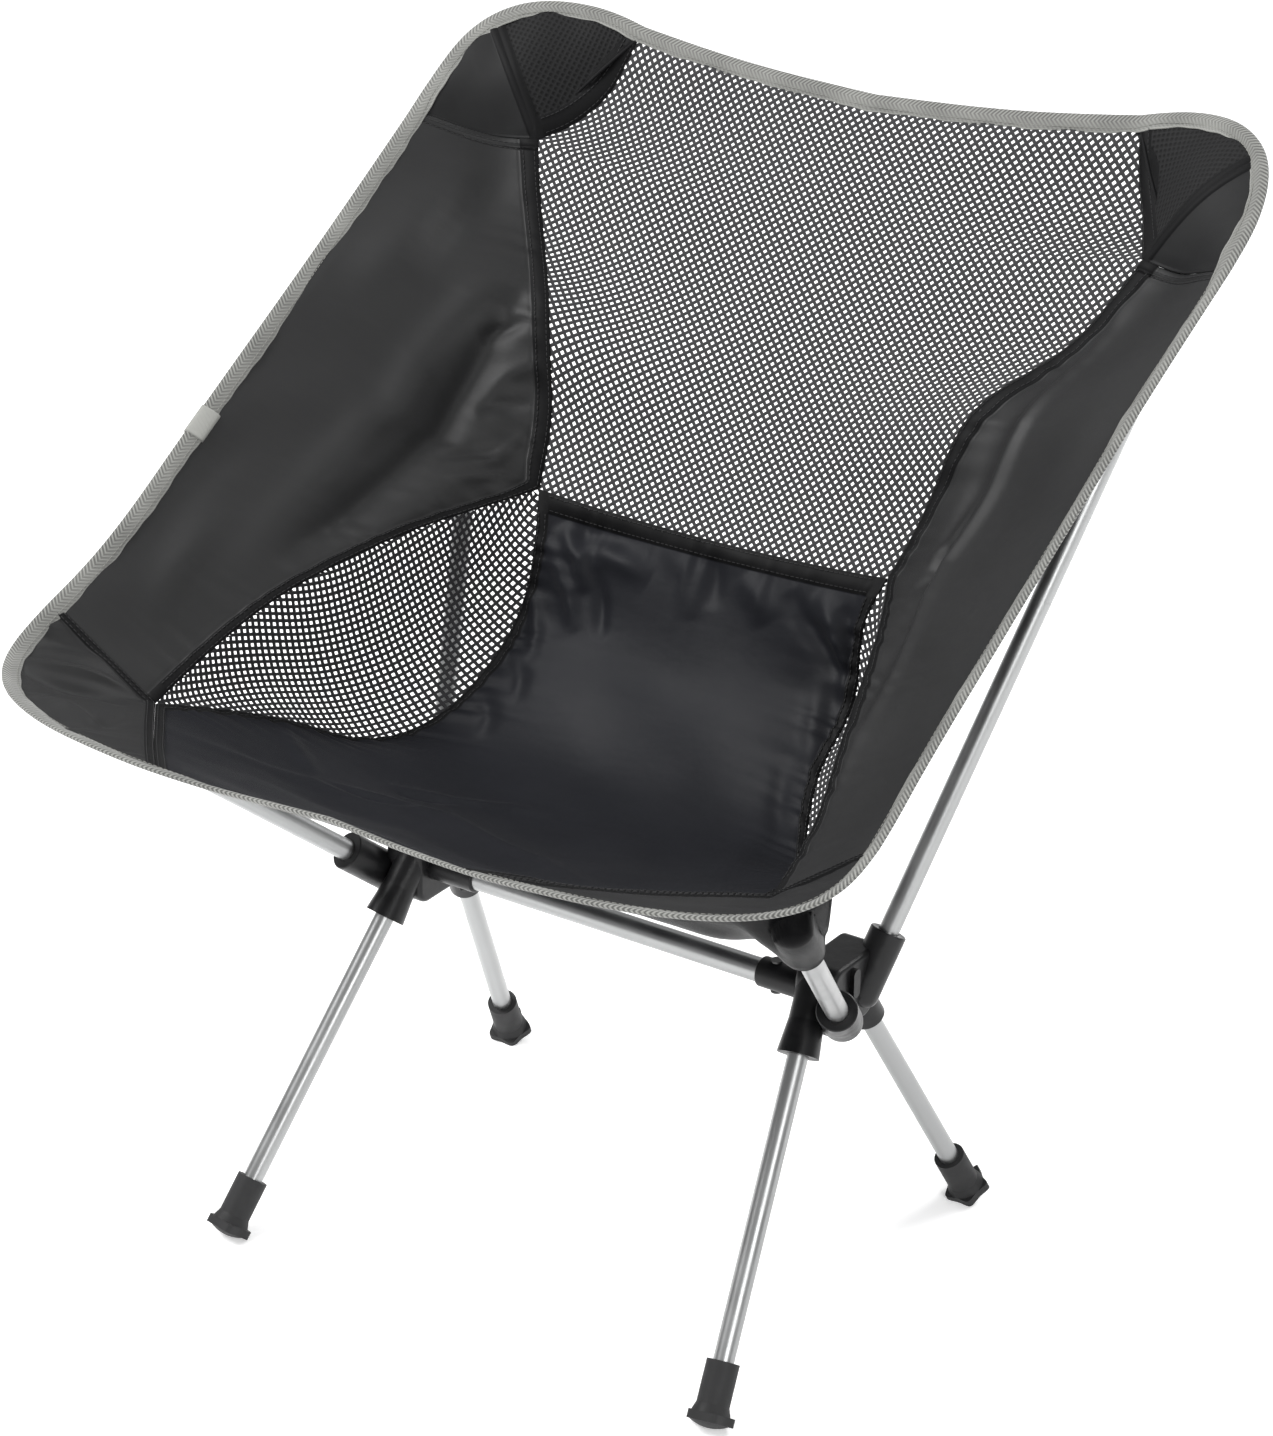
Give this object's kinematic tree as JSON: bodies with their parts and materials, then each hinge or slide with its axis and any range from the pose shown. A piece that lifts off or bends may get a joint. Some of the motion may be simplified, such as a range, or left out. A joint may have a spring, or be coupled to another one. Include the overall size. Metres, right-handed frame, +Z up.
{
  "type": "ultralight backpacking chair",
  "caption": "Low camping chair: a fabric and mesh bucket sling on a shock-corded tube frame with moulded hubs and splayed, star-footed legs.",
  "frame": {"origin": "on the ground under the middle of the chair's outline", "axes": "+X towards the sitter's left, the chair faces -Y, +Z up"},
  "size_m": [0.5518, 0.5572, 0.6467],
  "materials": {
    "tube_aluminium": "satin anodised",
    "hub_nylon": "smooth glass-filled nylon",
    "foot_rubber": "matte",
    "cap_plastic": "matte",
    "rivet_metal": "satin",
    "shock_cord": "braided sleeve",
    "sling_fabric": "plain weave polyester",
    "sling_mesh": "open knitted mesh",
    "binding_webbing": "ribbed webbing tape"
  },
  "bodies": {
    "frame": {"back_mesh_panel": "sling_mesh", "back_pole_cap_left": "cap_plastic", "back_pole_cap_right": "cap_plastic", "back_pole_cord_left": "shock_cord", "back_pole_cord_right": "shock_cord", "back_pole_ferrule_left": "tube_aluminium", "back_pole_ferrule_right": "tube_aluminium", "back_pole_lower_left": "tube_aluminium", "back_pole_lower_right": "tube_aluminium", "back_pole_upper_left": "tube_aluminium", "back_pole_upper_right": "tube_aluminium", "binding_tab": "binding_webbing", "crossbar": "tube_aluminium", "crossbar_rivet_left": "rivet_metal", "crossbar_rivet_right": "rivet_metal", "front_binding": "binding_webbing", "front_corner_patch_left": "sling_fabric", "front_corner_patch_right": "sling_fabric", "front_leg_cord_left": "shock_cord", "front_leg_cord_right": "shock_cord", "front_pocket_left": "sling_fabric", "front_pocket_right": "sling_fabric", "hub_left": "hub_nylon", "hub_right": "hub_nylon", "rear_leg_cord_left": "shock_cord", "rear_leg_cord_right": "shock_cord", "seat_panel": "sling_fabric", "seat_pole_cap_left": "cap_plastic", "seat_pole_cap_right": "cap_plastic", "seat_pole_cord_left": "shock_cord", "seat_pole_cord_right": "shock_cord", "seat_pole_left": "tube_aluminium", "seat_pole_right": "tube_aluminium", "side_binding_left": "binding_webbing", "side_binding_right": "binding_webbing", "side_mesh_left": "sling_mesh", "side_mesh_right": "sling_mesh", "side_panel_left": "sling_fabric", "side_panel_right": "sling_fabric", "top_binding": "binding_webbing", "top_corner_patch_left": "sling_fabric", "top_corner_patch_right": "sling_fabric", "top_pocket_left": "sling_fabric", "top_pocket_right": "sling_fabric"},
    "front_leg_left": {"front_cord_stop_left": "cap_plastic", "front_foot_boot_left": "foot_rubber", "front_leg_tube_left": "tube_aluminium"},
    "front_leg_right": {"front_cord_stop_right": "cap_plastic", "front_foot_boot_right": "foot_rubber", "front_leg_tube_right": "tube_aluminium"},
    "rear_leg_left": {"rear_cord_stop_left": "cap_plastic", "rear_foot_boot_left": "foot_rubber", "rear_leg_tube_left": "tube_aluminium"},
    "rear_leg_right": {"rear_cord_stop_right": "cap_plastic", "rear_foot_boot_right": "foot_rubber", "rear_leg_tube_right": "tube_aluminium"}
  },
  "joints": [
    {"name": "front_leg_left_pull", "type": "slide", "parent": "frame", "child": "front_leg_left", "axis": [0.1225, -0.6127, -0.7807], "range_m": [0, 0.07], "stiffness_N_per_m": 200, "springref_m": -0.06},
    {"name": "front_leg_right_pull", "type": "slide", "parent": "frame", "child": "front_leg_right", "axis": [-0.1225, -0.6127, -0.7807], "range_m": [0, 0.07], "stiffness_N_per_m": 200, "springref_m": -0.06},
    {"name": "rear_leg_left_pull", "type": "slide", "parent": "frame", "child": "rear_leg_left", "axis": [0.1565, 0.4695, -0.8689], "range_m": [0, 0.07], "stiffness_N_per_m": 200, "springref_m": -0.06},
    {"name": "rear_leg_right_pull", "type": "slide", "parent": "frame", "child": "rear_leg_right", "axis": [-0.1565, 0.4695, -0.8689], "range_m": [0, 0.07], "stiffness_N_per_m": 200, "springref_m": -0.06}
  ]
}
